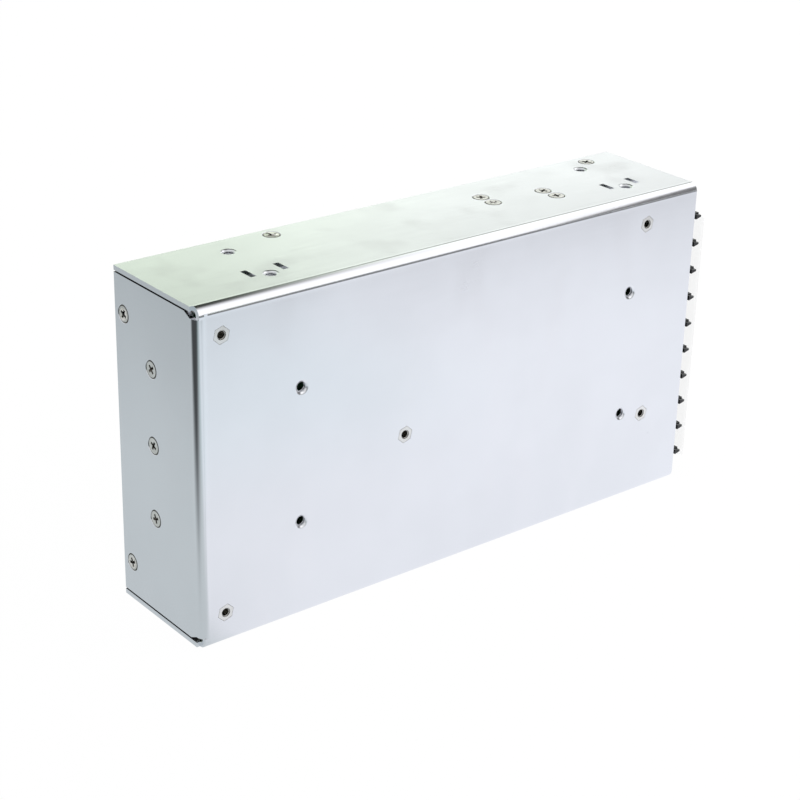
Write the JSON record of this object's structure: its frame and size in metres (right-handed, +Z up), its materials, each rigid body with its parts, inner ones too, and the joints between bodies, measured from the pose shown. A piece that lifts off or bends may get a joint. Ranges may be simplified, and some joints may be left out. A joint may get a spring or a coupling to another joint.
{
  "type": "mesh case switching power supply",
  "caption": "Enclosed power supply in a folded aluminium case with a perforated cover, a barrier terminal strip under a clear flap, and an output trimmer.",
  "frame": {"origin": "centre of the footprint, on the lower side flange's outer face", "axes": "+X along the length towards the terminals, +Y through the case from the base plate to the mesh cover, +Z up across the width"},
  "size_m": [0.203, 0.042, 0.105],
  "materials": {
    "chassis_aluminium": "satin, clear finished",
    "cover_steel": "zinc plated, satin",
    "clear_film": "translucent film",
    "board_green": "solder mask over glass laminate",
    "steel": "zinc plated",
    "nickel": "nickel plated",
    "silicone": "soft, matte",
    "moulding": "black moulding compound",
    "spreader": "milled",
    "black_plastic": "moulded, fine texture",
    "clear_plastic": "clear, moulded",
    "blue_plastic": "moulded",
    "green_lens": "tinted lens",
    "powder_core": "coated powder core",
    "ferrite": "sintered ferrite",
    "copper_wire": "enamelled copper wire",
    "yellow_tape": "polyester tape",
    "can_sleeve": "shrink sleeve on an aluminium can",
    "grey_box": "moulded box",
    "red_box": "dipped coating",
    "blue_coating": "dipped coating",
    "green_coating": "silicone coating",
    "fuse_glass": "clear tube",
    "white_box": "moulded",
    "resistor_body": "flameproof coating"
  },
  "bodies": {
    "case": {"base_chassis": "chassis_aluminium", "mesh_cover": "cover_steel", "main_board": "board_green", "terminal_block": "black_plastic", "insulating_sheet": "clear_film", "board_standoffs": "steel", "inner_screws": "steel", "cover_screws": "nickel", "device_screws": "nickel", "device_nuts": "steel", "thermal_pads": "silicone", "rear_power_devices": "moulding", "heat_spreaders": "spreader", "output_rectifiers": "moulding", "terminal_plates": "nickel", "terminal_washers": "nickel", "terminal_screws": "nickel", "trimmer_body": "blue_plastic", "indicator_light": "green_lens", "boost_inductor_core": "powder_core", "boost_inductor_winding": "copper_wire", "boost_inductor_base": "black_plastic", "output_choke_core": "powder_core", "output_choke_winding": "copper_wire", "output_choke_base": "black_plastic", "line_choke_core": "ferrite", "line_choke_winding": "copper_wire", "line_choke_base": "black_plastic", "transformer_core": "ferrite", "transformer_bobbin": "black_plastic", "transformer_winding": "yellow_tape", "auxiliary_transformer_core": "ferrite", "auxiliary_transformer_winding": "yellow_tape", "bulk_capacitors": "can_sleeve", "output_capacitors": "can_sleeve", "small_capacitors": "can_sleeve", "line_capacitors": "grey_box", "film_capacitors": "red_box", "safety_capacitors": "blue_coating", "surge_varistor": "blue_coating", "inrush_thermistor": "green_coating", "fuse_tube": "fuse_glass", "fuse_caps": "nickel", "fuse_clips": "steel", "bridge_rectifier": "moulding", "control_board": "board_green", "control_chips": "moulding", "optocouplers": "white_box", "power_resistors": "resistor_body"},
    "terminal_flap": {"terminal_cover": "clear_plastic"},
    "trimmer": {"trimmer_rotor": "white_box"}
  },
  "joints": [
    {"name": "terminal_flap_hinge", "type": "hinge", "parent": "case", "child": "terminal_flap", "pos_m": [0.08505, 0.0016, 0.04745], "axis": [0, 0, 1], "range_deg": [0, 95]},
    {"name": "trimmer_turn", "type": "hinge", "parent": "case", "child": "trimmer", "pos_m": [0.08615, -0.009, 0.0972], "axis": [0, 1, 0], "range_deg": [-135, 135]}
  ]
}
